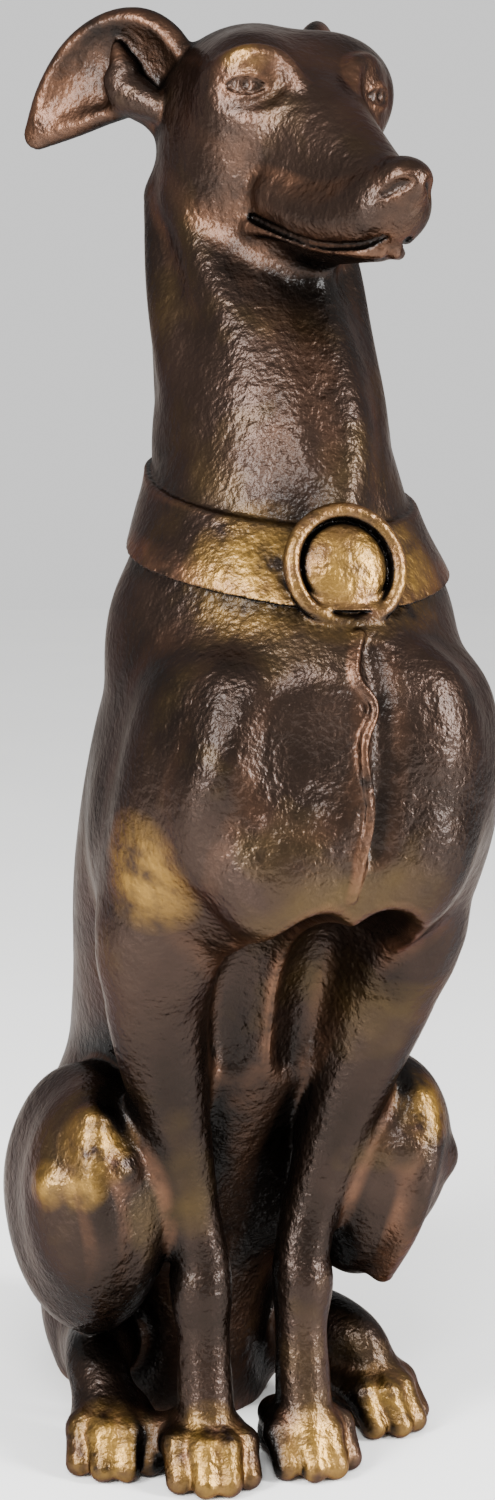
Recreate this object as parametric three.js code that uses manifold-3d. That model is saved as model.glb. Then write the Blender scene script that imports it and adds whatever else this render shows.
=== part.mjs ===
// A sitting greyhound cast in iron, with a collar and a round medallion, all one casting.
// Millimetres, +Z up. The dog faces -Y, its left is +X and its median plane is x = 0.
import * as THREE from "three";
import { mergeVertices } from "three/addons/utils/BufferGeometryUtils.js";
import Module from "manifold-3d";

// ---- Driving dimensions -----------------------------------------------------------------
const GRID = 3.6; // step of the finest sampling grid
const HALVINGS = 2; // halvings from the coarse grid down to the finest one
const TRIANGLES = 9400; // faces left after the surface is thinned out
const UNDERCUT = 8; // depth below the ground that is cut away flat
const HEAD_TURN = 10; // degrees that the head is turned to the dog's left
const HEAD_PIVOT = [0, -25, 690];
const COLLAR = { centre: [0, -156, 477], slope: 0.18, halfHeight: 16, thickness: 4 };
const MEDALLION = { centre: [-1, -161, 477], radius: 31, tilt: 16, rim: 4.5 };
const DOME = { radius: 22, height: 7 }; // the raised middle of the medallion
const PLATE = 20; // the medallion's depth, most of it sunk in the chest

// ---- Forms: each one is a function of a place that gives its distance ---------------------
const RIGHT = -1;
const LEFT = 1;
const FAR = 1000;

// A form with the ball that holds it, so that far forms can be passed over.
function form(centre, reach, distance) {
  return Object.assign(distance, { centre, reach });
}
function soften(a, b, k) {
  const h = Math.max(k - Math.abs(a - b), 0) / k;
  return Math.min(a, b) - h * h * k * 0.25;
}
// The union of forms, with its inner corners rounded over a width k.
function blend(k, ...parts) {
  const centre = [0, 1, 2].map((n) => parts.reduce((sum, p) => sum + p.centre[n], 0) / parts.length);
  const reach = Math.max(...parts.map((p) => gap(centre, p.centre) + p.reach)) + k;
  return form(centre, reach, (x, y, z) => {
    let d = FAR;
    for (const part of parts) {
      const c = part.centre;
      if (Math.hypot(x - c[0], y - c[1], z - c[2]) - part.reach < d + k) d = soften(d, part(x, y, z), k);
    }
    return d;
  });
}
function gap(a, b) {
  return Math.hypot(a[0] - b[0], a[1] - b[1], a[2] - b[2]);
}
// A form with tools cut out of it.
function carve(k, body, ...tools) {
  return form(body.centre, body.reach, (x, y, z) => {
    let d = body(x, y, z);
    for (const tool of tools) d = -soften(-d, tool(x, y, z), k);
    return d;
  });
}
// What two forms have in common.
function common(k, a, b) {
  return form(a.centre, a.reach, (x, y, z) => -soften(-a(x, y, z), -b(x, y, z), k));
}
function ball([cx, cy, cz], r) {
  return form([cx, cy, cz], r, (x, y, z) => Math.hypot(x - cx, y - cy, z - cz) - r);
}
// An ellipsoid, turned about its own axes by degrees.
function egg([cx, cy, cz], [rx, ry, rz], degrees = [0, 0, 0]) {
  const turn = new THREE.Euler(...degrees.map(THREE.MathUtils.degToRad), "ZYX");
  const m = new THREE.Matrix4().makeRotationFromEuler(turn).elements;
  return form([cx, cy, cz], Math.max(rx, ry, rz), (x, y, z) => {
    const px = x - cx;
    const py = y - cy;
    const pz = z - cz;
    const ex = (m[0] * px + m[1] * py + m[2] * pz) / rx;
    const ey = (m[4] * px + m[5] * py + m[6] * pz) / ry;
    const ez = (m[8] * px + m[9] * py + m[10] * pz) / rz;
    const near = Math.hypot(ex, ey, ez);
    const slope = Math.hypot(ex / rx, ey / ry, ez / rz);
    return slope < 1e-9 ? -Math.min(rx, ry, rz) : (near * (near - 1)) / slope;
  });
}
// A rounded tapering bar.
function bar(a, b, ra, rb) {
  const d = [b[0] - a[0], b[1] - a[1], b[2] - a[2]];
  const len2 = d[0] * d[0] + d[1] * d[1] + d[2] * d[2];
  const centre = a.map((v, n) => (v + b[n]) / 2);
  return form(centre, Math.sqrt(len2) / 2 + Math.max(ra, rb), (x, y, z) => {
    const px = x - a[0];
    const py = y - a[1];
    const pz = z - a[2];
    const t = Math.min(Math.max((px * d[0] + py * d[1] + pz * d[2]) / len2, 0), 1);
    return Math.hypot(px - d[0] * t, py - d[1] * t, pz - d[2] * t) - (ra + (rb - ra) * t);
  });
}
// One place on the smooth curve through rows of numbers; t runs from 0 to rows.length - 1.
function along(rows, t) {
  const i = Math.min(Math.floor(t), rows.length - 2);
  const u = t - i;
  return rows[0].map((_, n) => {
    const b = rows[i][n];
    const c = rows[i + 1][n];
    const a = i > 0 ? rows[i - 1][n] : 2 * b - c;
    const d = i + 2 < rows.length ? rows[i + 2][n] : 2 * c - b;
    return b + 0.5 * u * (c - a + u * (2 * a - 5 * b + 4 * c - d + u * (3 * (b - c) + d - a)));
  });
}
// A ball swept along a smooth curve through rows of x, y, z, radius and half-width across the dog.
function limb(rows, perRow = 4) {
  const full = rows.map(([x, y, z, r, w = r]) => [x, y, z, r, w]);
  const last = (rows.length - 1) * perRow;
  const stops = [];
  for (let i = 0; i <= last; i++) stops.push(along(full, i / perRow));
  const [X, Y, Z, R, W] = [0, 1, 2, 3, 4].map((n) => Float64Array.from(stops, (stop) => stop[n]));
  const E = new Float64Array(last + 1);
  const middle = stops[last >> 1].slice(0, 3);
  const reach = Math.max(...stops.map((s) => gap(middle, s) + Math.max(s[3], s[4])));
  return form(middle, reach, (x, y, z) => {
    let best = 0;
    for (let i = 0; i <= last; i++) {
      const across = ((x - X[i]) * R[i]) / W[i];
      E[i] = (Math.hypot(across, y - Y[i], z - Z[i]) - R[i]) * Math.min(W[i] / R[i], 1);
      if (E[i] < E[best]) best = i;
    }
    const i = Math.min(Math.max(best, 1), last - 1);
    const bend = E[i - 1] - 2 * E[i] + E[i + 1];
    const lean = (E[i - 1] - E[i + 1]) / 2;
    const s = bend > 1e-9 ? Math.min(Math.max(lean / bend, -1), 1) : Math.sign(lean);
    const at = (V) => V[i] + (s * (V[i + 1] - V[i - 1])) / 2 + (s * s * (V[i + 1] - 2 * V[i] + V[i - 1])) / 2;
    const r = at(R);
    const w = at(W);
    return (Math.hypot(((x - at(X)) * r) / w, y - at(Y), z - at(Z)) - r) * Math.min(w / r, 1);
  });
}
// A limb in the median plane, through rows of y, z, half-depth and half-width.
function spine(rows) {
  return limb(rows.map(([y, z, r, w]) => [0, y, z, r, w]));
}
// The form pressed flatter along a direction through a centre.
function flattened(f, [cx, cy, cz], [nx, ny, nz], shape) {
  return form(shape.centre, shape.reach, (x, y, z) => {
    const off = ((x - cx) * nx + (y - cy) * ny + (z - cz) * nz) * (1 / f - 1);
    return shape(x + nx * off, y + ny * off, z + nz * off) * f;
  });
}
function moved([dx, dy, dz], shape) {
  const [cx, cy, cz] = shape.centre;
  return form([cx + dx, cy + dy, cz + dz], shape.reach, (x, y, z) => shape(x - dx, y - dy, z - dz));
}
// The form turned about an upright axis through a pivot.
function turned([px, py], degrees, shape) {
  const c = Math.cos(THREE.MathUtils.degToRad(degrees));
  const s = Math.sin(THREE.MathUtils.degToRad(degrees));
  const [cx, cy, cz] = shape.centre;
  const centre = [px + (cx - px) * c - (cy - py) * s, py + (cx - px) * s + (cy - py) * c, cz];
  return form(centre, shape.reach, (x, y, z) => {
    const dx = x - px;
    const dy = y - py;
    return shape(px + dx * c + dy * s, py - dx * s + dy * c, z);
  });
}
const flip = (side, [x, ...rest]) => [x * side, ...rest];
const flips = (side, rows) => rows.map((row) => flip(side, row));
function both(make) {
  return [make(RIGHT), make(LEFT)];
}

// ---- The dog ------------------------------------------------------------------------------
function trunk() {
  const ribs = spine([
    [-80, 424, 78, 78],
    [-68, 365, 96, 88],
    [-26, 300, 94, 82],
    [14, 232, 90, 68],
    [48, 165, 86, 60],
    [68, 96, 80, 60],
    [72, 40, 76, 66],
  ]);
  const chest = egg([0, -118, 386], [80, 84, 90], [14, 0, 0]);
  const keel = egg([0, -126, 344], [80, 76, 72]);
  const breast = both((s) => egg(flip(s, [40, -148, 372]), [44, 46, 56], [10, 0, 20 * s]));
  return blend(18, blend(24, ribs, chest), keel, ...breast);
}
function neck() {
  const column = spine([
    [-8, 680, 46, 40],
    [-10, 645, 52, 45],
    [-18, 612, 55, 48],
    [-27, 590, 58, 51],
    [-39, 568, 62, 53],
    [-50, 548, 66, 55],
    [-57, 530, 69, 58],
    [-63, 510, 72, 59],
    [-69, 490, 73, 64],
    [-73, 470, 74, 71],
    [-84, 445, 76, 80],
  ]);
  const windpipe = limb([
    [8, -72, 614, 12],
    [11, -80, 592, 12],
    [14, -96, 568, 12],
    [15, -112, 544, 12],
    [12, -125, 520, 12],
    [6, -136, 500, 12],
  ]);
  const cords = [
    [[-38, -26, 648, 10], [-33, -52, 616, 12], [-24, -76, 585, 13], [-12, -98, 552, 13], [-2, -122, 516, 12]],
    [[-38, 2, 650, 12], [-42, -22, 605, 13], [-40, -54, 560, 15], [-30, -86, 524, 15], [-14, -118, 496, 13]],
    [[36, -22, 648, 10], [36, -50, 616, 11], [35, -66, 585, 12], [31, -90, 548, 12], [22, -116, 512, 12]],
  ];
  return blend(9, column, windpipe, ...cords.map((rows) => limb(rows)));
}
// The head is made looking along -Y and is turned on its neck at the end.
function head() {
  const skull = egg([0, -20, 691], [45, 56, 45], [8, 0, 0]);
  const cheekbones = both((s) => egg(flip(s, [29, -57, 692]), [19, 22, 21]));
  const muzzle = spine([
    [-24, 686, 42, 38],
    [-62, 680, 36, 34],
    [-100, 666, 29, 25],
    [-132, 656, 24, 20],
    [-150, 650, 20, 17],
  ]);
  const jaw = spine([[-10, 652, 30, 38], [-52, 643, 26, 32], [-95, 634, 19, 23], [-138, 630, 14, 14]]);
  const cheeks = both((s) => egg(flip(s, [27, -34, 664]), [20, 32, 26]));
  const lip = [[26, -78, 646, 5], [22, -98, 640, 6], [16, -122, 636, 7], [10, -146, 638, 9]];
  const nose = egg([0, -158, 655], [14, 14, 12]);
  const bones = blend(13, skull, ...cheekbones, muzzle, jaw, ...cheeks);
  const face = blend(6, blend(12, bones, ...both((s) => limb(flips(s, lip)))), nose);
  const slit = [[36, -66, 641, 3], [32, -88, 631, 3.5], [25, -116, 625, 3.5], [17, -142, 625, 3.5], [6, -160, 628, 3]];
  const nostrils = both((s) => ball(flip(s, [9, -171, 656]), 4));
  const carved = carve(2, face, ...both((s) => limb(flips(s, slit))), ...nostrils);
  const features = blend(3, blend(8, carved, ...both(eye)), ...both(ear));
  return turned(HEAD_PIVOT, HEAD_TURN, features);
}
// An eyeball between lids with an almond opening, under a brow that runs down beside the muzzle.
function eye(side) {
  const eyeball = ball(flip(side, [31, -71, 698]), 10);
  const shell = ball(flip(side, [31, -71, 698]), 12);
  const arcs = [-1, 1].map((up) => ball(flip(side, [39, -80, 698.5 + 8.5 * up]), 14));
  const lids = carve(1, shell, common(1, ...arcs));
  const brow = [[46, -54, 700, 3], [41, -68, 708, 4], [31, -78, 711, 5], [19, -85, 706, 4], [13, -92, 696, 3]];
  const bag = [[46, -58, 690, 3], [38, -73, 686, 3], [27, -83, 686, 3], [18, -89, 690, 3]];
  return blend(1, lids, eyeball, blend(5, limb(flips(side, brow)), limb(flips(side, bag))));
}
const EARS = {
  [RIGHT]: [[36, 8, 706, 23], [49, 18, 717, 27], [59, 34, 712, 26], [69, 50, 698, 19], [79, 64, 680, 8]],
  [LEFT]: [[38, 0, 706, 20], [58, 0, 720, 24], [76, 4, 724, 22], [90, 22, 712, 17], [98, 42, 694, 9]],
};
// The ear is a folded flap: a flattened taper, hollowed on its outer face.
function ear(side) {
  const rows = EARS[side];
  const facing = flip(side, [0.78, -0.62, 0]);
  const middle = flip(side, [60, 36, 710]);
  const flap = flattened(0.42, middle, facing, limb(flips(side, rows)));
  const inner = rows.map(([x, y, z, r]) => [x, y, z, r - 5]);
  const hollow = flattened(0.62, middle, facing, limb(flips(side, inner)));
  const outwards = facing.map((n) => n * 15);
  const fold = limb(flips(side, [[42, -10, 684, 6], [48, 0, 694, 7], [56, 12, 700, 7], [62, 26, 706, 4]]));
  return blend(4, carve(3, flap, moved(outwards, hollow)), fold);
}
function shoulder(side) {
  return blend(18,
    egg(flip(side, [45, -84, 430]), [39, 46, 46]),
    limb(flips(side, [[56, -136, 404, 32], [66, -124, 345, 31], [65, -98, 282, 28]])),
    egg(flip(side, [66, -84, 330]), [26, 34, 50]),
  );
}
const FOREPAWS = { [RIGHT]: [28, -98], [LEFT]: [29, -92] };
function foreleg(side) {
  return blend(8,
    limb(flips(side, [
      [65, -104, 290, 29],
      [62, -90, 250, 25],
      [49, -78, 198, 20],
      [35, -72, 142, 15.5],
      [28, -75, 112, 14.5],
      [28, -77, 96, 16],
      [27, -80, 72, 13.5],
      [27, -86, 42, 14.5],
      [27, -92, 22, 14],
    ])),
    paw(side, FOREPAWS[side], 6),
  );
}
// Four toes side by side; place is the middle of the foot, heading turns it outwards.
function paw(side, [px, py], heading) {
  const a = THREE.MathUtils.degToRad(heading);
  const put = (across, ahead, up) => [
    (px + across * Math.cos(a) + ahead * Math.sin(a)) * side,
    py + across * Math.sin(a) - ahead * Math.cos(a),
    up,
  ];
  const toes = [-1.5, -0.5, 0.5, 1.5].map((n) => {
    const reach = Math.abs(n) > 1 ? 4 : 12;
    const across = n * 11.5;
    return blend(3,
      bar(put(across * 0.6, reach - 24, 24), put(across * 0.95, reach - 4, 21), 9, 8.5),
      bar(put(across * 0.95, reach - 4, 21), put(across * 1.05, reach + 7, 7), 8.5, 7),
    );
  });
  const pad = bar(put(0, -22, 12), put(0, 4, 9), 17, 15);
  return blend(4, pad, ...toes);
}
const HINDQUARTERS = {
  [RIGHT]: { middle: 133, half: 71, paw: [69, -66], heading: 16, hock: 61 },
  [LEFT]: { middle: 147, half: 65, paw: [88, -48], heading: 28, hock: 72 },
};
function haunch(side) {
  const { middle, half, paw: [px, py], heading, hock } = HINDQUARTERS[side];
  const thigh = egg(flip(side, [76, -26, middle]), [36, 62, half], [0, 0, -10 * side]);
  const knee = egg(flip(side, [86, -58, middle + 16]), [28, 31, half - 22]);
  const foot = [[44, 34, 26, 22], [hock - 8, 6, 42, 20], [hock + 6, -28, 42, 17], [px, py + 8, 24, 14]];
  return blend(10, blend(22, thigh, knee), limb(flips(side, foot)), paw(side, [px, py], heading));
}
// The back of the thigh, from the rump to the haunch.
function ham(side) {
  return limb(flips(side, [[26, 70, 126, 44], [40, 36, 134, 50], [60, -6, 138, 46]]));
}
// The belly comes down between the hind legs to the ground.
function web() {
  return spine([[-44, 300, 44, 50], [-8, 230, 62, 52], [20, 150, 60, 46], [34, 70, 56, 40], [40, 0, 54, 44]]);
}
function tail() {
  return limb([[0, 138, 56, 20], [22, 156, 26, 15], [66, 162, 12, 12], [104, 130, 10, 10], [112, 88, 9, 8]]);
}
function collar(body) {
  const [, cy, cz] = COLLAR.centre;
  return form(body.centre, body.reach, (x, y, z) => {
    const across = z - cz - COLLAR.slope * (y - cy);
    return -soften(COLLAR.thickness - body(x, y, z), COLLAR.halfHeight - Math.abs(across), 3);
  });
}
function medallion() {
  const [cx, cy, cz] = MEDALLION.centre;
  const a = THREE.MathUtils.degToRad(MEDALLION.tilt);
  return form([cx, cy, cz], MEDALLION.radius + 20, (x, y, z) => {
    const out = (z - cz) * Math.sin(a) - (y - cy) * Math.cos(a);
    const up = (y - cy) * Math.sin(a) + (z - cz) * Math.cos(a);
    const r = Math.hypot(x - cx, up);
    const ring = Math.hypot(r - MEDALLION.radius + MEDALLION.rim, out - 1) - MEDALLION.rim;
    const plate = Math.max(r - MEDALLION.radius + MEDALLION.rim, Math.abs(out + PLATE / 2 + 2) - PLATE / 2);
    const dome = (Math.hypot(r / DOME.radius, (out + 2) / DOME.height) - 1) * DOME.height;
    return Math.min(ring, plate, dome);
  });
}
function dog() {
  const body = blend(16, trunk(), neck());
  const recess = blend(4, ...both((s) => egg(flip(s, [18, -200, 232]), [40, 132, 86])));
  const torso = carve(5, blend(20, body, ...both(shoulder)), recess);
  const limbs = blend(12, blend(28, torso, web(), ...both(ham)), ...both(foreleg), ...both(haunch));
  const whole = blend(8, blend(14, limbs, head()), tail());
  const dressed = blend(1.5, whole, collar(whole), medallion());
  return (x, y, z) => Math.max(dressed(x, y, z), -UNDERCUT - z);
}

// ---- Surface: the field is sampled and its zero level becomes triangles --------------------
const BOX_MIN = [-150, -240, -14];
const BOX_MAX = [150, 200, 770];

// A cell's corners in binary order.
const CORNERS = [0, 1, 2, 3, 4, 5, 6, 7].map((c) => [c & 1, (c >> 1) & 1, c >> 2]);

// The six tetrahedra around a cell's main diagonal, by the cell's corners in binary order.
const TETS = [[0, 1, 3, 7], [0, 3, 2, 7], [0, 2, 6, 7], [0, 6, 4, 7], [0, 4, 5, 7], [0, 5, 1, 7]];

function activeCells(field, step) {
  let size = step * 2 ** HALVINGS;
  const count = BOX_MIN.map((low, i) => Math.ceil((BOX_MAX[i] - low) / size));
  let cells = [];
  for (let i = 0; i < count[0]; i++)
    for (let j = 0; j < count[1]; j++)
      for (let k = 0; k < count[2]; k++) cells.push([i, j, k]);
  for (let level = HALVINGS; ; level--) {
    const reach = size * 1.1;
    cells = cells.filter(([i, j, k]) => {
      const middle = [i, j, k].map((c, n) => BOX_MIN[n] + (c + 0.5) * size);
      return Math.abs(field(...middle)) < reach;
    });
    if (level === 0) return cells;
    size /= 2;
    const split = ([i, j, k]) => CORNERS.map(([a, b, c]) => [2 * i + a, 2 * j + b, 2 * k + c]);
    cells = cells.flatMap(split);
  }
}

function polygonise(field, step) {
  const cells = activeCells(field, step);
  const stride = 1024;
  const values = new Map();
  const value = (key, i, j, k) => {
    let v = values.get(key);
    if (v === undefined) {
      v = field(BOX_MIN[0] + i * step, BOX_MIN[1] + j * step, BOX_MIN[2] + k * step);
      if (Math.abs(v) < 1e-4) v = 1e-4;
      values.set(key, v);
    }
    return v;
  };
  const positions = [];
  const triangles = [];
  const crossings = new Map();
  const keys = new Array(8);
  const vals = new Array(8);
  const at = new Array(8);
  const crossing = (a, b) => {
    if (keys[a] > keys[b]) [a, b] = [b, a];
    const name = keys[a] * 8 + (b ^ a);
    let id = crossings.get(name);
    if (id === undefined) {
      const t = THREE.MathUtils.clamp(vals[a] / (vals[a] - vals[b]), 0.04, 0.96);
      id = positions.length / 3;
      for (let n = 0; n < 3; n++) {
        positions.push(BOX_MIN[n] + (at[a][n] + (at[b][n] - at[a][n]) * t) * step);
      }
      crossings.set(name, id);
    }
    return id;
  };
  for (const [i, j, k] of cells) {
    let inside = 0;
    for (let c = 0; c < 8; c++) {
      at[c] = [i + CORNERS[c][0], j + CORNERS[c][1], k + CORNERS[c][2]];
      keys[c] = (at[c][0] * stride + at[c][1]) * stride + at[c][2];
      vals[c] = value(keys[c], ...at[c]);
      if (vals[c] < 0) inside++;
    }
    if (inside === 0 || inside === 8) continue;
    for (const tet of TETS) {
      const inner = tet.filter((c) => vals[c] < 0);
      const outer = tet.filter((c) => vals[c] >= 0);
      if (inner.length === 0 || outer.length === 0) continue;
      const even = evenOrder(tet, [...inner, ...outer]);
      if (inner.length === 1) {
        const [a, b, c] = outer.map((o) => crossing(inner[0], o));
        triangles.push(...(even ? [a, b, c] : [a, c, b]));
      } else if (inner.length === 3) {
        const [a, b, c] = inner.map((n) => crossing(n, outer[0]));
        triangles.push(...(even ? [a, b, c] : [a, c, b]));
      } else {
        const a = crossing(inner[0], outer[0]);
        const b = crossing(inner[0], outer[1]);
        const c = crossing(inner[1], outer[1]);
        const d = crossing(inner[1], outer[0]);
        triangles.push(...(even ? [a, b, c, a, c, d] : [a, c, b, a, d, c]));
      }
    }
  }
  return { positions, triangles };
}
function evenOrder(from, to) {
  let swaps = 0;
  const order = to.map((c) => from.indexOf(c));
  for (let i = 0; i < 4; i++) for (let j = i + 1; j < 4; j++) if (order[i] > order[j]) swaps++;
  return swaps % 2 === 0;
}

// ---- Thinning: edges whose loss changes the surface least are collapsed, one by one ---------
const QUADRIC = 10;
const TRIES = 4; // times that a blocked edge is offered again before it is given up
const SLIVER = 0.08; // twice a face's area over the square of its longest side

// Twice a face's area as a vector along its normal, from its three corners.
function areaVector(a, b, c) {
  const ux = b[0] - a[0];
  const uy = b[1] - a[1];
  const uz = b[2] - a[2];
  const vx = c[0] - a[0];
  const vy = c[1] - a[1];
  const vz = c[2] - a[2];
  return [uy * vz - uz * vy, uz * vx - ux * vz, ux * vy - uy * vx];
}
// The squared distance of a place to the planes gathered in a quadric.
function planeError(q, [x, y, z]) {
  return q[0] * x * x + q[4] * y * y + q[7] * z * z + q[9]
    + 2 * (q[1] * x * y + q[2] * x * z + q[5] * y * z + q[3] * x + q[6] * y + q[8] * z);
}
// The place of least error, or null where the planes don't meet in one.
function leastPlace(q) {
  const [a, b, c, , d, e, , f] = q;
  const det = a * (d * f - e * e) - b * (b * f - c * e) + c * (b * e - c * d);
  if (det < 1e-5 * (a + d + f) ** 3) return null;
  const [x, y, z] = [-q[3], -q[6], -q[8]];
  return [
    (x * (d * f - e * e) - b * (y * f - z * e) + c * (y * e - z * d)) / det,
    (a * (y * f - z * e) - x * (b * f - c * e) + c * (b * z - c * y)) / det,
    (a * (d * z - e * y) - b * (b * z - c * y) + x * (b * e - c * d)) / det,
  ];
}
// A heap that gives its cheapest entry first.
class Heap {
  items = [];
  push(item) {
    const { items } = this;
    let i = items.push(item) - 1;
    while (i > 0) {
      const parent = (i - 1) >> 1;
      if (items[parent].cost <= item.cost) break;
      items[i] = items[parent];
      i = parent;
    }
    items[i] = item;
  }
  pop() {
    const { items } = this;
    const top = items[0];
    const last = items.pop();
    if (items.length === 0) return top;
    let i = 0;
    for (;;) {
      let child = 2 * i + 1;
      if (child >= items.length) break;
      if (child + 1 < items.length && items[child + 1].cost < items[child].cost) child++;
      if (items[child].cost >= last.cost) break;
      items[i] = items[child];
      i = child;
    }
    items[i] = last;
    return top;
  }
}

function thinned({ positions, triangles: t }, target) {
  const place = Array.from({ length: positions.length / 3 }, (_, v) => positions.slice(v * 3, v * 3 + 3));
  const quadrics = place.map(() => new Float64Array(QUADRIC));
  const faces = place.map(() => []);
  const stamp = new Int32Array(place.length);
  for (let f = 0; f < t.length; f += 3) {
    const corner = place[t[f]];
    const normal = areaVector(corner, place[t[f + 1]], place[t[f + 2]]);
    const size = Math.hypot(...normal) || 1e-12;
    const [a, b, c] = normal.map((n) => n / size);
    const d = -(a * corner[0] + b * corner[1] + c * corner[2]);
    const plane = [a * a, a * b, a * c, a * d, b * b, b * c, b * d, c * c, c * d, d * d];
    const weight = size * importance(corner);
    for (let n = 0; n < 3; n++) {
      faces[t[f + n]].push(f);
      for (let i = 0; i < QUADRIC; i++) quadrics[t[f + n]][i] += plane[i] * weight;
    }
  }
  // The places that an edge's ends could move to, cheapest first.
  const choices = (a, b) => {
    const q = quadrics[a].map((v, i) => v + quadrics[b][i]);
    const length = gap(place[a], place[b]);
    const middle = place[a].map((v, n) => (v + place[b][n]) / 2);
    const least = leastPlace(q);
    const places = [middle, place[a], place[b]];
    if (least && gap(least, middle) < length) places.push(least);
    const rated = places.map((at) => ({ at, cost: planeError(q, at) + 1e-4 * length * length }));
    return rated.sort((one, other) => one.cost - other.cost);
  };
  const heap = new Heap();
  const offer = (a, b) => {
    heap.push({ a, b, when: stamp[a] + stamp[b], tries: 0, cost: choices(a, b)[0].cost });
  };
  for (let f = 0; f < t.length; f += 3) {
    for (let n = 0; n < 3; n++) if (t[f + n] < t[f + ((n + 1) % 3)]) offer(t[f + n], t[f + ((n + 1) % 3)]);
  }
  const fullness = (a, b, c, normal) => {
    return Math.hypot(...normal) / Math.max(gap(a, b), gap(b, c), gap(c, a)) ** 2;
  };
  // A face may not turn over or shrink to a sliver when one of its corners moves.
  const survives = (f, moving, to) => {
    const old = [place[t[f]], place[t[f + 1]], place[t[f + 2]]];
    const now = [0, 1, 2].map((n) => (t[f + n] === moving ? to : old[n]));
    const before = areaVector(...old);
    const after = areaVector(...now);
    const turn = before[0] * after[0] + before[1] * after[1] + before[2] * after[2];
    const fullBefore = fullness(...old, before);
    const fullAfter = fullness(...now, after);
    const steady = turn > 0.2 * Math.hypot(...before) * Math.hypot(...after);
    return (steady || fullBefore < SLIVER / 4) && (fullAfter > SLIVER || fullAfter > fullBefore);
  };
  const ring = (v) => {
    const around = new Set();
    for (const f of faces[v]) for (let n = 0; n < 3; n++) if (t[f + n] !== v) around.add(t[f + n]);
    return around;
  };
  let left = t.length / 3;
  while (left > target && heap.items.length > 0) {
    const edge = heap.pop();
    const { a, b } = edge;
    if (faces[a].length === 0 || faces[b].length === 0 || edge.when !== stamp[a] + stamp[b]) continue;
    const besideB = ring(b);
    let shared = 0;
    for (const v of ring(a)) if (besideB.has(v)) shared++;
    if (!besideB.has(a) || shared !== 2) continue;
    const onEdge = (f) => [t[f], t[f + 1], t[f + 2]].includes(a) && [t[f], t[f + 1], t[f + 2]].includes(b);
    const lost = faces[a].filter(onEdge);
    const keptA = faces[a].filter((f) => !onEdge(f));
    const keptB = faces[b].filter((f) => !onEdge(f));
    const fits = ({ at }) => keptA.every((f) => survives(f, a, at)) && keptB.every((f) => survives(f, b, at));
    const chosen = choices(a, b).find(fits);
    if (!chosen) {
      if (edge.tries < TRIES) heap.push({ ...edge, cost: edge.cost * 4 + 1, tries: edge.tries + 1 });
      continue;
    }
    for (const f of lost) {
      for (let n = 0; n < 3; n++) {
        const v = t[f + n];
        if (v !== a && v !== b) faces[v] = faces[v].filter((g) => g !== f);
        t[f + n] = -1;
      }
    }
    for (const f of keptB) for (let n = 0; n < 3; n++) if (t[f + n] === b) t[f + n] = a;
    faces[a] = [...keptA, ...keptB];
    faces[b] = [];
    place[a] = chosen.at;
    for (let i = 0; i < QUADRIC; i++) quadrics[a][i] += quadrics[b][i];
    left -= lost.length;
    stamp[a]++;
    for (const v of ring(a)) offer(a, v);
  }
  return { positions: place.flat(), triangles: t.filter((v) => v >= 0) };
}
// The face and the feet keep more of their faces than the broad body does.
function importance([, y, z]) {
  if (z > 615) return 5;
  return z < 40 && y < -20 ? 3 : 1;
}

// ---- The casting --------------------------------------------------------------------------
const wasm = await Module();
wasm.setup();

function toSolid(geometry) {
  const clean = geometry.clone();
  clean.deleteAttribute("normal");
  clean.deleteAttribute("uv");
  const merged = mergeVertices(clean, 1e-5);
  const vertProperties = new Float32Array(merged.getAttribute("position").array);
  const triVerts = Uint32Array.from(merged.index.array);
  return new wasm.Manifold(new wasm.Mesh({ numProp: 3, vertProperties, triVerts }));
}
function toGeometry(solid) {
  const { vertProperties, triVerts } = solid.getMesh();
  const geometry = new THREE.BufferGeometry();
  geometry.setAttribute("position", new THREE.BufferAttribute(vertProperties, 3));
  geometry.setIndex(new THREE.BufferAttribute(triVerts, 1));
  geometry.computeVertexNormals();
  return geometry;
}
function surface(mesh) {
  const geometry = new THREE.BufferGeometry();
  geometry.setAttribute("position", new THREE.Float32BufferAttribute(mesh.positions, 3));
  geometry.setIndex(mesh.triangles);
  return geometry;
}
// Everything below the ground is cut away, so that the feet and the rump stand flat.
function casting() {
  const rough = surface(thinned(polygonise(dog(), GRID), TRIANGLES));
  const ground = new THREE.BoxGeometry(600, 600, 60).translate(0, 0, -30);
  const geometry = toGeometry(toSolid(rough).subtract(toSolid(ground)));
  geometry.computeBoundingBox();
  const centre = geometry.boundingBox.getCenter(new THREE.Vector3());
  return geometry.translate(-centre.x, -centre.y, 0);
}

const iron = new THREE.MeshStandardMaterial({ color: 0x4a3a30, roughness: 0.42, metalness: 0.85 });
const statue = new THREE.Mesh(casting(), iron);
statue.name = "greyhound_statue";
const group = new THREE.Group();
group.add(statue);
export default group;
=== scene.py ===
"""A sitting greyhound cast in iron, with a bronze patina, a collar and a round medallion."""
import math

import bpy
import numpy as np
from mathutils import Matrix, Vector


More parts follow.
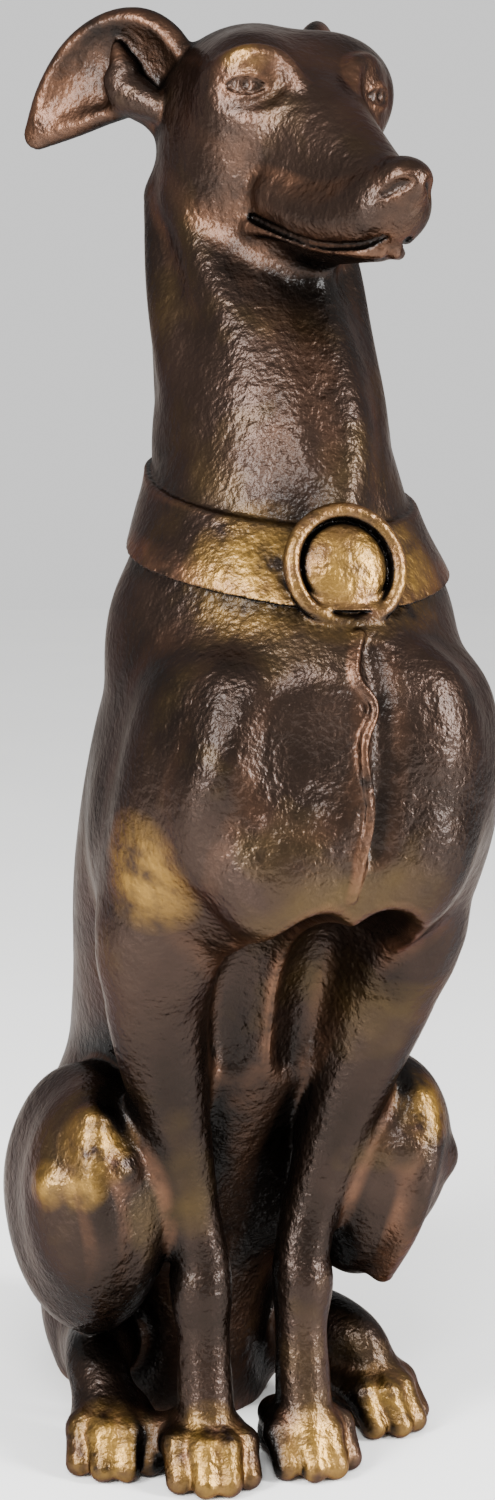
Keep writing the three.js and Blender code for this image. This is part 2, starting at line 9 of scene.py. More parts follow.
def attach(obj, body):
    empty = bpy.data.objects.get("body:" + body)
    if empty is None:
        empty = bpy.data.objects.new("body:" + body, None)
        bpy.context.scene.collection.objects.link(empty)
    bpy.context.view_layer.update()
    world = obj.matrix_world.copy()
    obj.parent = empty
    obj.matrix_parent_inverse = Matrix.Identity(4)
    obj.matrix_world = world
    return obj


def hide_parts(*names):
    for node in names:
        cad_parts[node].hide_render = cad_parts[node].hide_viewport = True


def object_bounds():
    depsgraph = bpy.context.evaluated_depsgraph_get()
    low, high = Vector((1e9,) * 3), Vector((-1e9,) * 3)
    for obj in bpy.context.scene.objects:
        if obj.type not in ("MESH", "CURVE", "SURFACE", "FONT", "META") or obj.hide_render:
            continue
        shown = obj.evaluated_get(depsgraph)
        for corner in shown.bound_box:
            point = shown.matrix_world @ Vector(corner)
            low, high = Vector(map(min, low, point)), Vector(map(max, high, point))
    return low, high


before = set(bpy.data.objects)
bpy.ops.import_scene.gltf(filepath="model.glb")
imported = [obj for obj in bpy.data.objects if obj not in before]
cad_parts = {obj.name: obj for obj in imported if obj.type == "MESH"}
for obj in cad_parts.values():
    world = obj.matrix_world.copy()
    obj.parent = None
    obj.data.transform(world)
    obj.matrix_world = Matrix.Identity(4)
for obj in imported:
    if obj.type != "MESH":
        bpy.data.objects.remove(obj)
CAD_LOW, CAD_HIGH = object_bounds()

# ---- Forms: each one gives its distance at many places at once --------------------------------
RIGHT = -1
LEFT = 1
FAR = 1000.0


class Form:
    """A distance field with the ball that holds it, so that far places can be passed over."""

    def __init__(self, centre, reach, field):
        self.centre = np.array(centre, float)
        self.reach = reach
        self.field = field

    def __call__(self, p):
        return self.field(p)


def soften(a, b, k):
    h = np.maximum(k - np.abs(a - b), 0) / k
    return np.minimum(a, b) - h * h * k * 0.25


def blend(k, *parts):
    """The union of forms, with its inner corners rounded over a width k."""
    centre = np.mean([part.centre for part in parts], axis=0)
    reach = max(np.linalg.norm(centre - part.centre) + part.reach for part in parts) + k

    def field(p):
        d = np.full(len(p), FAR)
        for part in parts:
            todo = np.linalg.norm(p - part.centre, axis=1) - part.reach < d + k
            if todo.any():
                d[todo] = soften(d[todo], part(p[todo]), k)
        return d

    return Form(centre, reach, field)


def carve(k, body, *tools):
    """A form with tools cut out of it."""

    def field(p):
        d = body(p)
        for tool in tools:
            todo = np.linalg.norm(p - tool.centre, axis=1) - tool.reach < k - d
            if todo.any():
                d[todo] = -soften(-d[todo], tool(p[todo]), k)
        return d

    return Form(body.centre, body.reach, field)


def common(k, a, b):
    return Form(a.centre, a.reach, lambda p: -soften(-a(p), -b(p), k))


def ball(centre, r):
    centre = np.array(centre, float)
    return Form(centre, r, lambda p: np.linalg.norm(p - centre, axis=1) - r)


def egg(centre, radii, degrees=(0, 0, 0)):
    """An ellipsoid, turned about its own axes by degrees."""
    ax, ay, az = np.radians(degrees)
    cx, sx, cy, sy, cz, sz = np.cos(ax), np.sin(ax), np.cos(ay), np.sin(ay), np.cos(az), np.sin(az)
    about_x = np.array([[1, 0, 0], [0, cx, -sx], [0, sx, cx]])
    about_y = np.array([[cy, 0, sy], [0, 1, 0], [-sy, 0, cy]])
    about_z = np.array([[cz, -sz, 0], [sz, cz, 0], [0, 0, 1]])
    turn = about_z @ about_y @ about_x
    centre = np.array(centre, float)
    radii = np.array(radii, float)

    def field(p):
        e = (p - centre) @ turn / radii
        near = np.linalg.norm(e, axis=1)
        slope = np.linalg.norm(e / radii, axis=1)
        return near * (near - 1) / np.maximum(slope, 1e-9)

    return Form(centre, radii.max(), field)


def bar(a, b, ra, rb):
    """A rounded tapering bar."""
    a = np.array(a, float)
    d = np.array(b, float) - a
    span = d @ d

    def field(p):
        t = np.clip((p - a) @ d / span, 0, 1)
        return np.linalg.norm(p - a - t[:, None] * d, axis=1) - (ra + (rb - ra) * t)

    return Form(a + d / 2, math.sqrt(span) / 2 + max(ra, rb), field)


def along(rows, t):
    """One place on the smooth curve through rows of numbers; t runs from 0 to len(rows) - 1."""
    i = min(int(t), len(rows) - 2)
    u = t - i
    b = rows[i]
    c = rows[i + 1]
    a = rows[i - 1] if i > 0 else 2 * b - c
    d = rows[i + 2] if i + 2 < len(rows) else 2 * c - b
    return b + 0.5 * u * (c - a + u * (2 * a - 5 * b + 4 * c - d + u * (3 * (b - c) + d - a)))


def limb(rows, per_row=4):
    """A ball swept along a smooth curve through rows of x, y, z, radius and half-width."""
    full = np.array([tuple(row) + (row[3],) * (5 - len(row)) for row in rows], float)
    last = (len(rows) - 1) * per_row
    stops = np.array([along(full, i / per_row) for i in range(last + 1)])
    xs, ys, zs, rs, ws = stops.T
    middle = stops[last // 2, :3]
    reach = (np.linalg.norm(stops[:, :3] - middle, axis=1) + np.maximum(rs, ws)).max()

    def field(p):
        x, y, z = (p[:, n, None] for n in range(3))
        e = np.sqrt(((x - xs) * (rs / ws)) ** 2 + (y - ys) ** 2 + (z - zs) ** 2)
        e = (e - rs) * np.minimum(ws / rs, 1)
        i = np.clip(e.argmin(axis=1), 1, last - 1)
        n = np.arange(len(p))
        low, mid, high = e[n, i - 1], e[n, i], e[n, i + 1]
        bend = low - 2 * mid + high
        lean = (low - high) / 2
        s = np.where(bend > 1e-9, np.clip(lean / np.maximum(bend, 1e-9), -1, 1), np.sign(lean))

        def at(v):
            return v[i] + s * (v[i + 1] - v[i - 1]) / 2 + s * s * (v[i + 1] - 2 * v[i] + v[i - 1]) / 2

        r = at(rs)
        w = at(ws)
        d = np.sqrt(((p[:, 0] - at(xs)) * r / w) ** 2 + (p[:, 1] - at(ys)) ** 2 + (p[:, 2] - at(zs)) ** 2)
        return (d - r) * np.minimum(w / r, 1)

    return Form(middle, reach, field)


def spine(rows):
    """A limb in the median plane, through rows of y, z, half-depth and half-width."""
    return limb([(0, *row) for row in rows])


def flattened(f, centre, normal, shape):
    """The form pressed flatter along a direction through a centre."""
    centre = np.array(centre, float)
    normal = np.array(normal, float)

    def field(p):
        off = (p - centre) @ normal * (1 / f - 1)
        return shape(p + off[:, None] * normal) * f

    return Form(shape.centre, shape.reach, field)


def moved(by, shape):
    by = np.array(by, float)
    return Form(shape.centre + by, shape.reach, lambda p: shape(p - by))


def turned(pivot, degrees, shape):
    """The form turned about an upright axis through a pivot."""
    c = math.cos(math.radians(degrees))
    s = math.sin(math.radians(degrees))
    turn = np.array([[c, s, 0], [-s, c, 0], [0, 0, 1]])
    pivot = np.array([*pivot[:2], 0], float)
    centre = (shape.centre - pivot) @ turn + pivot
    return Form(centre, shape.reach, lambda p: shape((p - pivot) @ turn.T + pivot))


def flip(side, place):
    return (place[0] * side, *place[1:])


def flips(side, rows):
    return [flip(side, row) for row in rows]


def both(make):
    return [make(RIGHT), make(LEFT)]


def slopes(field, p, step=0.5):
    """How fast the field grows along X, Y and Z."""
    ahead = np.stack([field(p + step * axis) for axis in np.eye(3)], axis=1)
    return (ahead - field(p)[:, None]) / step


def laid(field, rows, r, sink=0.0):
    """Rows of places moved onto a form's surface, or under it by sink, with a radius."""
    p = np.array(rows, float)[:, :3]
    for _ in range(8):
        slope = slopes(field, p)
        p = p - (field(p) + sink)[:, None] * slope / (slope ** 2).sum(axis=1, keepdims=True)
    return [(*place, r) for place in p]
# ---- Surface: the field is sampled near its zero level, and the level becomes a net of quads ----
GRID = 1.5
HALVINGS = 5
BOX_LOW = np.array([-150.0, -240.0, -14.0])
BOX_HIGH = np.array([150.0, 200.0, 770.0])
CORNERS = np.array([[c & 1, (c >> 1) & 1, c >> 2] for c in range(8)])
EDGES = [(a, a | bit) for bit in (1, 2, 4) for a in range(8) if not a & bit]
BATCH = 20000


def sampled(field, points):
    """The field at many places, a batch at a time."""
    return np.concatenate([field(points[n:n + BATCH]) for n in range(0, len(points), BATCH)])


def cells_near(field, step):
    """Whole-number places of the cells that the surface may pass through."""
    size = step * 2 ** HALVINGS
    count = np.ceil((BOX_HIGH - BOX_LOW) / size).astype(int)
    cells = np.indices(count).reshape(3, -1).T
    for level in range(HALVINGS, -1, -1):
        d = sampled(field, BOX_LOW + (cells + 0.5) * size)
        cells = cells[np.abs(d) < size * 1.1]
        if level:
            size /= 2
            cells = (cells[:, None] * 2 + CORNERS).reshape(-1, 3)
    return cells


def code(cells):
    return (cells[..., 0] * 4096 + cells[..., 1]) * 4096 + cells[..., 2]


def net(field, step):
    """Vertices and quads of the field's zero level."""
    cells = cells_near(field, step)
    cells = cells[np.argsort(code(cells))]
    corners = cells[:, None] + CORNERS
    _, first, where = np.unique(code(corners).ravel(), return_index=True, return_inverse=True)
    places = corners.reshape(-1, 3)[first]
    values = sampled(field, BOX_LOW + places * step)[where].reshape(-1, 8)
    mixed = (values < 0).any(axis=1) & (values >= 0).any(axis=1)
    cells = cells[mixed]
    values = values[mixed]
    total = np.zeros((len(cells), 3))
    crossings = np.zeros(len(cells))
    for a, b in EDGES:
        hit = (values[:, a] < 0) != (values[:, b] < 0)
        t = values[hit, a] / (values[hit, a] - values[hit, b])
        total[hit] += CORNERS[a] + t[:, None] * (CORNERS[b] - CORNERS[a])
        crossings[hit] += 1
    vertices = BOX_LOW + (cells + total / crossings[:, None]) * step
    keys = code(cells)
    quads = []
    for axis in range(3):
        one, two = np.eye(3, dtype=int)[[(axis + 1) % 3, (axis + 2) % 3]]
        inside = values[:, 0] < 0
        hit = inside != (values[:, 1 << axis] < 0)
        ring = cells[hit, None] - np.array([0 * one, one, one + two, two])
        index = np.searchsorted(keys, code(ring))
        index[~inside[hit]] = index[~inside[hit], ::-1]
        quads.append(index)
    return vertices, np.concatenate(quads)


def refined(field, vertices, step=0.4):
    """The vertices moved onto the surface."""
    d = sampled(field, vertices)
    slope = np.stack([sampled(field, vertices + step * axis) - d for axis in np.eye(3)], axis=1) / step
    size = np.linalg.norm(slope, axis=1, keepdims=True)
    size = np.maximum(size, 0.3)
    shift = -d[:, None] * slope / size ** 2
    limit = np.minimum(1, 1.0 / np.maximum(np.linalg.norm(shift, axis=1, keepdims=True), 1e-9))
    return vertices + shift * limit
# ---- The dog, in millimetres: it faces -Y, its left is +X, its median plane is x = 0 ------------
HEAD_TURN = 10
HEAD_PIVOT = (0, -25, 690)
COLLAR_PLACE = np.array([0.0, -156.0, 477.0])
COLLAR_SLOPE = 0.18
COLLAR_HALF_HEIGHT = 16
COLLAR_THICKNESS = 4
MEDALLION_PLACE = np.array([-1.0, -165.0, 477.0])
MEDALLION_RADIUS = 31
MEDALLION_RIM = 4
MEDALLION_TILT = 16
DOME_RADIUS = 22
DOME_HEIGHT = 9
PLATE = 26
GROUND = 0.2


def trunk():
    """The rib cage, the deep chest and the breast muscles."""
    ribs = spine([
        (-80, 424, 78, 78),
        (-68, 365, 96, 88),
        (-26, 300, 94, 82),
        (14, 232, 90, 68),
        (48, 165, 86, 60),
        (68, 96, 80, 60),
        (72, 40, 76, 66),
    ])
    chest = egg((0, -118, 386), (80, 84, 90), (14, 0, 0))
    keel = egg((0, -126, 344), (80, 76, 72))
    breast = both(lambda s: egg(flip(s, (40, -148, 372)), (44, 46, 56), (10, 0, 20 * s)))
    return blend(18, blend(24, ribs, chest), keel, *breast)


def neck():
    """The neck with its windpipe and cords."""
    column = spine([
        (-8, 680, 46, 40),
        (-10, 645, 52, 45),
        (-18, 612, 55, 48),
        (-27, 590, 58, 51),
        (-39, 568, 62, 53),
        (-50, 548, 66, 55),
        (-57, 530, 69, 58),
        (-63, 510, 72, 59),
        (-69, 490, 73, 64),
        (-73, 470, 74, 71),
        (-84, 445, 76, 80),
    ])
    windpipe = limb([
        (8, -72, 614, 12),
        (11, -80, 592, 12),
        (14, -96, 568, 12),
        (15, -112, 544, 12),
        (12, -125, 520, 12),
        (6, -136, 500, 12),
    ])
    cords = [
        [
            (-38, -26, 648, 10),
            (-33, -52, 616, 12),
            (-24, -76, 585, 13),
            (-12, -98, 552, 13),
            (-2, -122, 516, 12),
        ],
        [
            (-38, 2, 650, 12),
            (-42, -22, 605, 13),
            (-40, -54, 560, 15),
            (-30, -86, 524, 15),
            (-14, -118, 496, 13),
        ],
        [
            (36, -22, 648, 10),
            (36, -50, 616, 11),
            (35, -66, 585, 12),
            (31, -90, 548, 12),
            (22, -116, 512, 12),
        ],
    ]
    return blend(9, column, windpipe, *(limb(rows) for rows in cords))


def head():
    """The head is made looking along -Y and is turned on its neck at the end."""
    skull = egg((0, -20, 691), (45, 56, 45), (8, 0, 0))
    fronts = both(lambda s: egg(flip(s, (23, -50, 704)), (21, 26, 25)))
    cheekbones = both(lambda s: egg(flip(s, (28, -56, 692)), (19, 21, 21)))
    muzzle = spine([
        (-24, 686, 42, 38),
        (-62, 681, 36, 34),
        (-100, 667, 28, 24),
        (-132, 655, 20, 18),
        (-152, 650, 17, 15),
    ])
    jaw = spine([(-10, 652, 30, 38), (-52, 643, 25, 32), (-95, 636, 18, 22), (-138, 632, 12.5, 14)])
    cheeks = both(lambda s: egg(flip(s, (27, -34, 664)), (20, 32, 26)))
    lip = [(24, -84, 650, 6), (20, -104, 643, 7), (15, -126, 641, 8), (9, -148, 645, 10)]
    nose = egg((0, -161, 657), (13, 14, 11))
    temple = egg((36, -38, 704), (29, 32, 28))
    bones = blend(16, skull, temple, *fronts, *cheekbones, muzzle, jaw, *cheeks)
    face = blend(5, blend(14, bones, *both(lambda s: limb(flips(s, lip)))), nose)
    slit = [(33, -70, 640), (30, -90, 634), (24, -116, 626), (16, -142, 626), (7, -156, 629)]
    under = [(33, -70, 633), (29, -92, 628), (23, -117, 620), (15, -140, 620), (5, -150, 622)]
    face = blend(4, face, *both(lambda s: limb(laid(face, flips(s, under), 2.5, sink=-0.5))))
    mouth = both(lambda s: limb(laid(face, flips(s, slit), 2.1, sink=1.0)))
    face = carve(1.5, face, *mouth, *both(nostril), limb([(0, -180, 652, 1.2), (0, -172, 640, 1.2)]))
    face = carve(7, face, *both(socket))
    face = blend(4, face, *both(lids))
    face = carve(0.8, face, *both(lambda s: common(0.5, *lid_arcs(s))))
    face = blend(0.4, face, *both(eyeball))
    return turned(HEAD_PIVOT, HEAD_TURN, blend(3, face, *both(ear)))


def nostril(side):
    """A slot cut in the side of the nose."""
    return limb(flips(side, [(5, -174, 655, 2), (9, -171, 654, 3.4), (13, -164, 650, 2)]))


EYES = {RIGHT: ((30.5, -65.5, 702), (0.60, -0.80, 0.02)), LEFT: ((33, -68, 701), (0.45, -0.89, 0.02))}


def eye_at(side, out, up=0.0):
    """A place in front of the middle of an eye."""
    place, facing = EYES[side]
    return flip(side, np.array(place) + np.array(facing) * out + np.array([0, 0, up]))


def eyeball(side):
    """The ball of an eye with a shallow pupil."""
    return carve(0.6, ball(eye_at(side, -2), 13.3), ball(eye_at(side, 12.2), 3))


def socket(side):
    """The hollow in front of an eye."""
    return egg(eye_at(side, 15), (17, 8, 11), (0, 0, 34 * side))


def lid_arcs(side):
    """Two balls whose common part is the almond gap between the lids."""
    return [ball(eye_at(side, 17, 15 * up - 0.5), 20) for up in (-1, 1)]


def lids(side):
    """The lids, the brow above and the bag below an eye."""
    brow = [(44, -50, 706, 3), (41, -62, 713, 4.5), (33, -72, 717, 5), (21, -79, 714, 5), (14, -90, 702, 3)]
    bag = [(44, -56, 694, 3), (38, -68, 689, 3), (28, -78, 688, 3), (18, -86, 692, 3)]
    return blend(6, ball(eye_at(side, -2), 15.2), limb(flips(side, brow)), limb(flips(side, bag)))


EARS = {
    RIGHT: [(36, 8, 706, 23), (49, 18, 717, 27), (59, 34, 712, 26), (69, 50, 698, 19), (79, 64, 681, 8)],
    LEFT: [(46, 0, 709, 20), (61, 4, 720, 23), (75, 10, 722, 22), (87, 20, 711, 17), (96, 34, 697, 9)],
}


def ear(side):
    """A folded ear: a flap, its hollow, the fold at its root and its canal."""
    rows = EARS[side]
    facing = np.array(flip(side, (0.78, -0.62, 0)))
    middle = flip(side, (60, 36, 710))
    flap = flattened(0.42, middle, facing, limb(flips(side, rows)))
    inner = [(x, y, z, r - 5) for x, y, z, r in rows]
    cup = flattened(0.62, middle, facing, limb(flips(side, inner)))
    hollow = moved(facing * 11.5 + np.array(flip(side, (1.5, 2, -1))), cup)
    canal = ball(flip(side, (64, 30, 701)), 6.5)
    fold = limb(flips(side, [(44, 0, 694, 7), (53, 19, 704, 10.5), (54, 20, 712, 8), (56, 24, 724, 3)]))
    return carve(2.5, blend(5, carve(3, flap, hollow), fold), canal)


def shoulder(side):
    """A shoulder with its upper arm and elbow."""
    return blend(
        18,
        egg(flip(side, (45, -84, 430)), (39, 46, 46)),
        limb(flips(side, [(56, -136, 404, 32), (66, -124, 345, 31), (65, -98, 282, 28)])),
        egg(flip(side, (66, -84, 330)), (26, 34, 50)),
    )


FOREPAWS = {RIGHT: (28, -98), LEFT: (29, -92)}


def foreleg(side):
    rows = [
        (65, -104, 290, 29),
        (62, -90, 250, 25),
        (49, -78, 198, 20),
        (35, -72, 142, 15.5),
        (28, -75, 112, 14.5),
        (28, -77, 96, 16),
        (27, -80, 72, 13.5),
        (27, -86, 42, 14.5),
        (27, -92, 22, 14),
    ]
    return blend(8, limb(flips(side, rows)), paw(side, FOREPAWS[side], 6))


def paw(side, place, heading):
    px, py = place
    a = math.radians(heading)

    def put(across, ahead, up):
        x = px + across * math.cos(a) + ahead * math.sin(a)
        return (x * side, py + across * math.sin(a) - ahead * math.cos(a), up)

    toes = []
    for n in (-1.5, -0.5, 0.5, 1.5):
        reach = 4 if abs(n) > 1 else 12
        across = n * 11.5
        toes.append(blend(
            3,
            bar(put(across * 0.6, reach - 24, 24), put(across * 0.95, reach - 4, 21), 9, 8.5),
            bar(put(across * 0.95, reach - 4, 21), put(across * 1.05, reach + 7, 7), 8.5, 7),
        ))
    pad = bar(put(0, -22, 12), put(0, 4, 9), 17, 15)
    return blend(4, pad, *toes)


HINDQUARTERS = {
    RIGHT: (133, 71, (69, -66), 16, 61),
    LEFT: (147, 65, (88, -48), 28, 72),
}


def haunch(side):
    """A thigh, a knee and a hind foot."""
    middle, half, (px, py), heading, hock = HINDQUARTERS[side]
    thigh = egg(flip(side, (76, -26, middle)), (36, 62, half), (0, 0, -10 * side))
    knee = egg(flip(side, (86, -58, middle + 16)), (28, 31, half - 22))
    foot = [(44, 34, 26, 22), (hock - 8, 6, 42, 20), (hock + 6, -28, 42, 17), (px, py + 8, 24, 14)]
    return blend(10, blend(22, thigh, knee), limb(flips(side, foot)), paw(side, (px, py), heading))


def ham(side):
    """The back of a thigh, joined to the rump."""
    return limb(flips(side, [(26, 70, 126, 44), (40, 36, 134, 50), (60, -6, 138, 46)]))


def web():
    """The iron that fills the space behind the forelegs."""
    rows = [(-44, 300, 44, 50), (-8, 230, 62, 52), (20, 150, 60, 46), (34, 70, 56, 40), (40, 0, 54, 44)]
    return spine(rows)


def tail():
    """The tail, laid round the left haunch."""
    return limb([(0, 138, 56, 20), (22, 156, 26, 15), (66, 162, 12, 12), (104, 130, 10, 10), (112, 88, 9, 8)])


def collar(body):
    """A flat band that follows the neck."""
    _, cy, cz = COLLAR_PLACE

    def field(p):
        across = np.abs(p[:, 2] - cz - COLLAR_SLOPE * (p[:, 1] - cy))
        d = across - COLLAR_HALF_HEIGHT
        todo = d < 12
        d[todo] = -soften(COLLAR_THICKNESS - body(p[todo]), COLLAR_HALF_HEIGHT - across[todo], 1.5)
        return d

    return Form((0, -71, 490), 150, field)


def medallion():
    """A tilted plate with a rounded rim, a groove and a dome."""
    tilt = math.radians(MEDALLION_TILT)

    def field(p):
        x, y, z = (p - MEDALLION_PLACE).T
        out = z * math.sin(tilt) - y * math.cos(tilt)
        up = y * math.sin(tilt) + z * math.cos(tilt)
        r = np.hypot(x, up)
        ring = np.hypot(r - MEDALLION_RADIUS + MEDALLION_RIM, out - 1) - MEDALLION_RIM
        plate = np.maximum(r - MEDALLION_RADIUS + MEDALLION_RIM, np.abs(out + PLATE / 2 + 2) - PLATE / 2)
        dome = (np.hypot(r / DOME_RADIUS, (out + 2) / DOME_HEIGHT) - 1) * DOME_HEIGHT
        groove = 1.3 - np.hypot(r - DOME_RADIUS - 0.6, out + 1.5)
        return np.maximum(np.minimum(np.minimum(ring, plate), dome), groove)

    return Form(MEDALLION_PLACE, MEDALLION_RADIUS + 20, field)


def chest_relief(body):
    """The flat plane and the ridges of the chest, and its ragged seam."""
    ridge = laid(body, [(-62, -175, 425), (-68, -182, 395), (-75, -178, 367), (-72, -173, 338)], 13, sink=9)
    panels = [
        egg((-34, -180, 336), (30, 24, 34)),
        egg((34, -176, 344), (28, 24, 36)),
        egg((36, -176, 400), (27, 24, 38)),
    ]
    plane = egg((-34, -214, 405), (27, 22, 40), (10, 0, -12))
    seam = [
        (1, -181, 447),
        (-5, -193, 430),
        (3, -197, 415),
        (-3, -202, 397),
        (1, -204, 368),
        (-2, -202, 345),
        (-5, -200, 326),
    ]
    line = limb(laid(body, seam, 2.2, sink=-0.4))
    dent = limb(laid(body, [(5, -190, 440), (6, -197, 415), (6, -202, 385), (4, -203, 350)], 5, sink=-2))
    full = blend(14, body, limb(ridge), *panels)
    return blend(3, carve(8, carve(16, full, plane), dent), line)


def thigh_relief(side):
    """The ridge and the knobs down the front of a thigh."""
    ridge = [(88, -76, 188, 8), (90, -84, 168, 9), (86, -88, 145, 8), (82, -84, 122, 7), (80, -62, 92, 6)]
    knobs = [ball(flip(side, (78, -84, 166)), 9), ball(flip(side, (106, -70, 156)), 9)]
    return blend(8, limb(flips(side, ridge)), *knobs)


def dog():
    """The whole casting, cut flat at the ground."""
    body = chest_relief(blend(16, trunk(), neck()))
    recess = blend(4, *both(lambda s: egg(flip(s, (18, -200, 232)), (40, 132, 86))))
    torso = carve(5, blend(20, body, *both(shoulder)), recess)
    limbs = blend(12, blend(28, torso, web(), *both(ham)), *both(foreleg), *both(haunch))
    limbs = blend(9, limbs, *both(thigh_relief))
    whole = blend(8, blend(14, limbs, head()), tail())
    dressed = blend(1.5, whole, collar(whole), medallion())
    return Form(dressed.centre, dressed.reach, lambda p: np.maximum(dressed(p), GROUND - p[:, 2]))

# ---- The casting's mesh -------------------------------------------------------------------------
STATUE = "greyhound_statue"
PIECE = "greyhound_casting"
MM = 0.001
MAX_TRIANGLES = 196000
INSIDE = 0.0001
LIFT = 0.0002
WORN = [
    ((-88, -84, 180), 26), ((-111, -72, 156), 16), ((-96, -87, 159), 16), ((93, -85, 190), 26),
    ((-1, -169, 477), 44), ((-40, -150, 474), 44), ((30, -152, 474), 40), ((-4, -205, 655), 34),
    ((-33, -114, 20), 34), ((26, -114, 16), 30), ((-78, -84, 18), 34), ((84, -68, 18), 30),
    ((-84, -140, 330), 38), ((-36, -90, 724), 26), ((-74, 60, 735), 34),
]


def casting():
    field = dog()
    step = GRID
    vertices, quads = net(field, step)
    vertices = refined(field, vertices)
    middle = (vertices.min(axis=0) + vertices.max(axis=0)) / 2
    shift = np.array([-middle[0], -middle[1], 0])
    mesh = bpy.data.meshes.new(PIECE)
    placed = np.clip((vertices + shift) * MM, np.array(CAD_LOW) + INSIDE, np.array(CAD_HIGH) - INSIDE)
    placed[:, 2] = np.maximum(placed[:, 2], LIFT)
    mesh.from_pydata(placed.tolist(), [], quads.tolist())
    mesh.validate()
    mesh.shade_smooth()
    piece = bpy.data.objects.new(PIECE, mesh)
    bpy.context.scene.collection.objects.link(piece)
    triangles = 2 * len(quads)
    if triangles > MAX_TRIANGLES:
        thin = piece.modifiers.new("thin", "DECIMATE")
        thin.ratio = MAX_TRIANGLES / triangles
        bpy.context.view_layer.update()
        graph = bpy.context.evaluated_depsgraph_get()
        done = bpy.data.meshes.new_from_object(piece.evaluated_get(graph))
        piece.modifiers.clear()
        piece.data = done
        done.shade_smooth()
    shade(piece.data, field, shift)
    return piece, shift * MM


def shade(mesh, field, shift):
    """Marks how much each place stands out, how deep it lies (which the material turns into painted shade)
    and where it is worn bright.
    """
    count = len(mesh.vertices)
    places = np.empty(count * 3, dtype=np.float32)
    mesh.vertices.foreach_get("co", places)
    places = places.reshape(-1, 3) / MM - shift
    outward = np.empty(count * 3, dtype=np.float32)
    mesh.vertices.foreach_get("normal", outward)
    outward = outward.reshape(-1, 3)
    raised = sum(sampled(field, places - r * outward) / r + 1 for r in (4, 9)) / 2
    # How open each place is to the air around it. Its inverse, hollow, darkens enclosed places with painted
    # shade.
    open_air = sum(sampled(field, places + r * outward) / r for r in (6, 18, 40)) / 3
    worn = np.zeros(count)
    for place, reach in WORN:
        worn = np.maximum(worn, 1 - np.linalg.norm(places - np.array(place), axis=1) / reach)
    for name, values in (("raised", raised), ("hollow", 1 - open_air), ("worn", worn)):
        mesh.attributes.new(name, "FLOAT", "POINT").data.foreach_set("value", values.astype(np.float32))


# ---- Looks --------------------------------------------------------------------------------------
class Nodes:
    """A short way to lay out a material's nodes."""

    def __init__(self, name):
        self.material = bpy.data.materials.new(name)
        self.material.use_nodes = True
        self.tree = self.material.node_tree
        self.shader = self.tree.nodes["Principled BSDF"]
        self.coordinates = self.tree.nodes.new("ShaderNodeTexCoord").outputs["Object"]

    def add(self, kind, **values):
        node = self.tree.nodes.new("ShaderNode" + kind)
        for key, value in values.items():
            setattr(node, key, value)
        return node

    def join(self, source, target):
        self.tree.links.new(source, target)

    def noise(self, scale, detail=2.0, roughness=0.5):
        node = self.add("TexNoise")
        node.inputs["Scale"].default_value = scale
        node.inputs["Detail"].default_value = detail
        node.inputs["Roughness"].default_value = roughness
        self.join(self.coordinates, node.inputs["Vector"])
        return node.outputs["Fac"]

    def spread(self, source, low, high, to_low=0.0, to_high=1.0):
        node = self.add("MapRange")
        self.join(source, node.inputs["Value"])
        for key, value in (("From Min", low), ("From Max", high), ("To Min", to_low), ("To Max", to_high)):
            node.inputs[key].default_value = value
        return node.outputs["Result"]

    def maths(self, operation, a, b):
        node = self.add("Math", operation=operation)
        for socket, value in zip(node.inputs, (a, b)):
            if isinstance(value, (int, float)):
                socket.default_value = value
            else:
                self.join(value, socket)
        return node.outputs["Value"]

    def mix(self, factor, a, b):
        node = self.add("Mix", data_type="RGBA")
        self.join(factor, node.inputs["Factor"])
        for socket, value in ((node.inputs["A"], a), (node.inputs["B"], b)):
            if isinstance(value, tuple):
                socket.default_value = (*value, 1)
            else:
                self.join(value, socket)
        return node.outputs["Result"]

    def bump(self, height, distance, strength=1.0, normal=None):
        node = self.add("Bump")
        node.inputs["Distance"].default_value = distance
        node.inputs["Strength"].default_value = strength
        self.join(height, node.inputs["Height"])
        if normal:
            self.join(normal, node.inputs["Normal"])
        return node.outputs["Normal"]

    def attribute(self, name):
        return self.add("Attribute", attribute_name=name).outputs["Fac"]


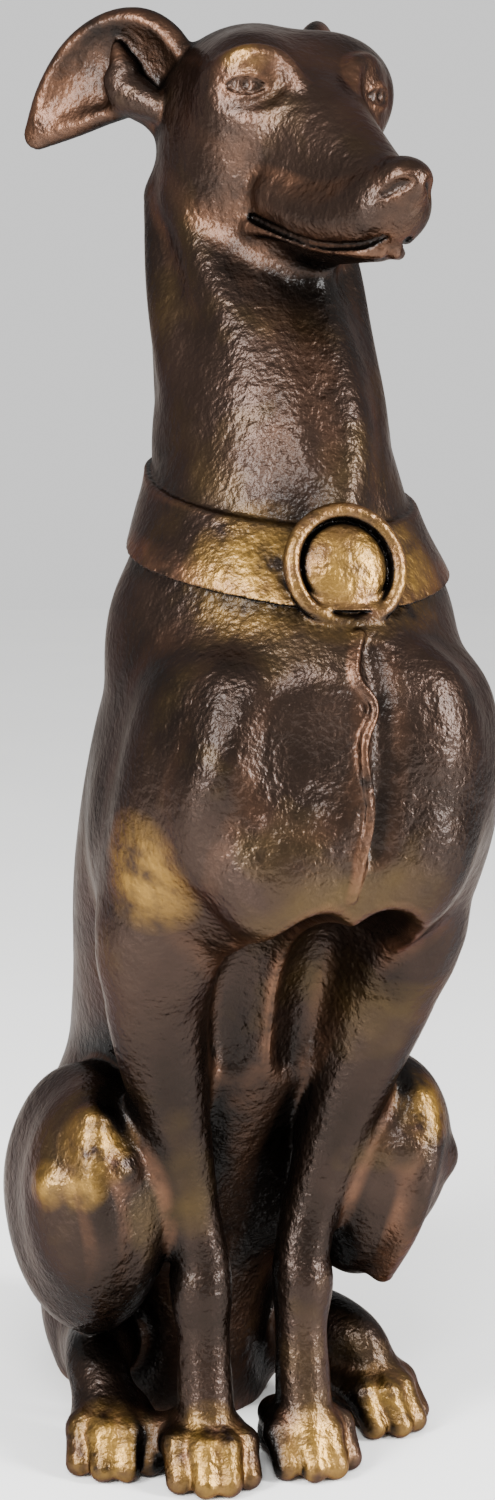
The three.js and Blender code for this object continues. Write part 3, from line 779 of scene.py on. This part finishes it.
def bronze():
    n = Nodes("patinated_iron")
    dark = (0.012, 0.007, 0.0048)
    brown = (0.036, 0.021, 0.015)
    olive = (0.075, 0.047, 0.012)
    gold = (0.26, 0.145, 0.03)
    copper = (0.15, 0.07, 0.038)
    # The near-black colour of the painted shade in hollows.
    painted_shade = (0.003, 0.002, 0.0015)
    cloud = n.spread(n.noise(7, 4, 0.6), 0.38, 0.66)
    tint = n.mix(cloud, dark, brown)
    patch = n.spread(n.noise(13, 3, 0.6), 0.52, 0.72)
    tint = n.mix(n.maths("MULTIPLY", patch, 0.45), tint, olive)
    raised = n.spread(n.attribute("raised"), 0.10, 0.38)
    rubbed = n.maths("MULTIPLY", raised, n.spread(n.noise(45, 3, 0.6), 0.3, 0.6))
    tint = n.mix(n.maths("MULTIPLY", rubbed, 0.55), tint, copper)
    worn = n.spread(n.attribute("worn"), 0.1, 0.8)
    bright = n.maths("MULTIPLY", worn, n.spread(n.noise(60, 3, 0.6), 0.32, 0.6))
    tint = n.mix(n.maths("MULTIPLY", bright, 0.85), tint, gold)
    # Painted shade: the deeper a place lies in a hollow, recess or gap between parts, the closer its colour
    # is pulled to near-black. The same places are also made rougher.
    deep = n.spread(n.attribute("hollow"), 0.12, 0.6)
    tint = n.mix(deep, tint, painted_shade)
    n.join(tint, n.shader.inputs["Base Color"])
    n.shader.inputs["Metallic"].default_value = 0.95
    n.shader.inputs["Specular Tint"].default_value = (0.4, 0.33, 0.28, 1)
    rough = n.spread(n.noise(50, 3, 0.6), 0.3, 0.7, 0.28, 0.42)
    n.join(n.maths("ADD", rough, n.maths("MULTIPLY", deep, 0.2)), n.shader.inputs["Roughness"])
    n.shader.inputs["Coat Weight"].default_value = 0.15
    n.shader.inputs["Coat Roughness"].default_value = 0.22
    grain = n.bump(n.noise(420, 2, 0.5), 0.0005, 0.9)
    grain = n.bump(n.noise(190, 2, 0.5), 0.0009, 0.9, grain)
    grain = n.bump(n.noise(60, 2, 0.5), 0.0018, 0.5, grain)
    n.join(grain, n.shader.inputs["Normal"])
    n.join(grain, n.shader.inputs["Coat Normal"])
    return n.material


def floor_material():
    n = Nodes("pale_floor")
    tone = n.spread(n.noise(3, 2, 0.5), 0.3, 0.7)
    n.join(n.mix(tone, (0.90, 0.90, 0.89), (0.93, 0.93, 0.92)), n.shader.inputs["Base Color"])
    n.shader.inputs["Roughness"].default_value = 0.7
    return n.material


# ---- Camera, lights and floor -------------------------------------------------------------------
CAMERA_PLACE = Vector((-0.513, -1.410, 0.595))
CAMERA_AZIMUTH = 20
CAMERA_DIP = 8.7
CAMERA_ROLL = 2.0
CAMERA_LENS = 68.9
CAMERA_SHIFT = (0.018, -0.001)


def camera(shift):
    data = bpy.data.cameras.new("camera")
    data.lens = CAMERA_LENS
    data.shift_x, data.shift_y = CAMERA_SHIFT
    made = bpy.data.objects.new("camera", data)
    bpy.context.scene.collection.objects.link(made)
    a, p, r = (math.radians(v) for v in (CAMERA_AZIMUTH, CAMERA_DIP, CAMERA_ROLL))
    ahead = Vector((math.sin(a) * math.cos(p), math.cos(a) * math.cos(p), -math.sin(p)))
    right = Vector((math.cos(a), -math.sin(a), 0))
    up = right.cross(ahead)
    rolled_right = math.cos(r) * right + math.sin(r) * up
    rolled_up = -math.sin(r) * right + math.cos(r) * up
    turn = Matrix((rolled_right, rolled_up, -ahead)).transposed()
    made.matrix_world = Matrix.Translation(CAMERA_PLACE + Vector(shift)) @ turn.to_4x4()
    bpy.context.scene.camera = made


def lamp(name, place, target, size, power, colour=(1, 1, 1)):
    data = bpy.data.lights.new(name, "AREA")
    data.shape = "RECTANGLE"
    data.size, data.size_y = size
    data.energy = power
    data.color = colour
    made = bpy.data.objects.new(name, data)
    made.location = place
    made.rotation_euler = (Vector(target) - Vector(place)).to_track_quat("-Z", "Y").to_euler()
    bpy.context.scene.collection.objects.link(made)


def studio():
    world = bpy.data.worlds.new("studio")
    world.use_nodes = True
    world.node_tree.nodes["Background"].inputs["Color"].default_value = (1, 1, 1, 1)
    world.node_tree.nodes["Background"].inputs["Strength"].default_value = 1.0
    bpy.context.scene.world = world
    middle = (0, 0, 0.4)
    lamp("left", (-1.6, -0.9, 1.1), middle, (0.5, 1.6), 110)
    lamp("right", (1.4, -1.3, 1.0), middle, (0.35, 1.5), 110)
    lamp("front", (-0.9, -2.0, 2.0), middle, (0.7, 0.6), 60)
    mesh = bpy.data.meshes.new("floor")
    half = 4.0
    corners = [(-half, -half, 0), (half, -half, 0), (half, half, 0), (-half, half, 0)]
    mesh.from_pydata(corners, [], [(0, 1, 2, 3)])
    floor = bpy.data.objects.new("floor", mesh)
    floor.data.materials.append(floor_material())
    bpy.context.scene.collection.objects.link(floor)


piece, shift = casting()
piece.data.materials.clear()
piece.data.materials.append(bronze())
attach(piece, "root")
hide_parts(STATUE)
camera(shift)
studio()
